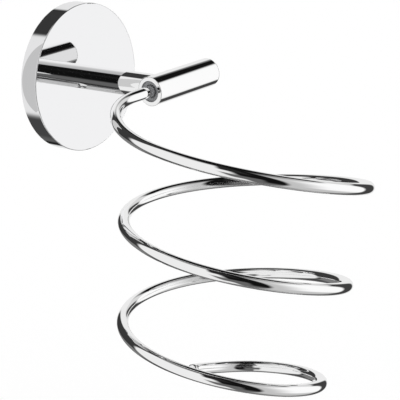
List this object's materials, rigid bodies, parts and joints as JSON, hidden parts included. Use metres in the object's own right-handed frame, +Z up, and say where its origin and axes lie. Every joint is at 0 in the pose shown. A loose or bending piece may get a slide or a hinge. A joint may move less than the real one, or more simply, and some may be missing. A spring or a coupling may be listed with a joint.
{
  "type": "hair dryer holder",
  "caption": "Wall-mounted hair dryer holder: a round polished rosette carries a short arm and cross tube, and a tapering spiral rod that the dryer's nose hangs in.",
  "frame": {"origin": "centre of the rosette's wall face", "axes": "+Z up, +Y into the wall, the arm runs out along -Y, the cross tube's open end points to -X"},
  "size_m": [0.0984, 0.1543, 0.1406],
  "materials": {
    "polished_chrome": "mirror polished chrome plating on brass",
    "zinc_plated_steel": "bright zinc plating on pressed steel",
    "stainless_steel": "turned stainless steel",
    "turned_brass": "turned brass, hidden inside the tube",
    "grey_nylon": "moulded grey nylon, matte"
  },
  "bodies": {
    "root": {"rosette": "polished_chrome", "wall_plate": "zinc_plated_steel", "wall_screws": "zinc_plated_steel", "wall_plugs": "grey_nylon", "rosette_set_screw": "stainless_steel", "arm": "polished_chrome", "arm_screw": "stainless_steel", "arm_washer": "stainless_steel", "arm_dowel": "stainless_steel", "arm_stud": "stainless_steel", "cross_tube": "polished_chrome", "rod_socket": "turned_brass", "rod_bush": "grey_nylon", "rod_set_screw": "stainless_steel", "spiral_rod": "polished_chrome"}
  },
  "joints": []
}
